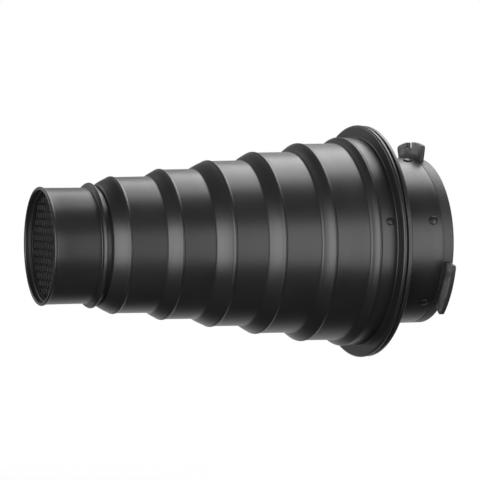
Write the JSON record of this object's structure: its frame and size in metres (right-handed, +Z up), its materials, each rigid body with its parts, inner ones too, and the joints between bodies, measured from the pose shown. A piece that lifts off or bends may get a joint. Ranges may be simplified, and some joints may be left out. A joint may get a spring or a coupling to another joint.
{
  "type": "snoot",
  "caption": "Stepped conical flash snoot with a three-lug bayonet neck and a pull-off nose tube holding a honeycomb grid.",
  "frame": {"origin": "centre of the bayonet ring's rear face", "axes": "+Y along the optical axis towards the flash head, so the beam leaves along -Y; +Z up, through the notched top lug"},
  "size_m": [0.1384, 0.236, 0.1384],
  "materials": {
    "black_coat": "satin black powder coat on spun aluminium",
    "grid_foil": "matt black coated foil",
    "grid_frame": "black anodised strip",
    "spring_wire": "bright spring wire",
    "black_screws": "black oxide steel",
    "seal_foam": "matt closed-cell foam",
    "zinc_steel": "zinc plated",
    "cast_ring": "black die-cast aluminium, lug faces worn bright"
  },
  "bodies": {
    "snoot": {"cone_shell": "black_coat", "nose_sleeve": "black_coat", "cone_screws": "black_screws", "light_seal": "seal_foam", "mount_plate": "black_coat", "neck_tube": "black_coat", "neck_screws": "zinc_steel", "neck_washers": "zinc_steel", "neck_nuts": "zinc_steel", "bayonet_ring": "cast_ring", "bayonet_rivets": "black_screws"},
    "nose": {"nose_tube": "black_coat"},
    "retainer": {"grid_retaining_ring": "spring_wire"},
    "grid": {"grid_core": "grid_foil", "grid_band": "grid_frame"}
  },
  "joints": [
    {"name": "nose_slide", "type": "slide", "parent": "snoot", "child": "nose", "axis": [0, -1, 0], "range_m": [0, 0.06]},
    {"name": "ring_slide", "type": "slide", "parent": "nose", "child": "retainer", "axis": [0, 1, 0], "range_m": [0, 0.06]},
    {"name": "grid_slide", "type": "slide", "parent": "nose", "child": "grid", "axis": [0, 1, 0], "range_m": [0, 0.048]}
  ],
  "couplings": [
    {"joint": "grid_slide", "follows": "ring_slide", "ratio": 0.8}
  ]
}
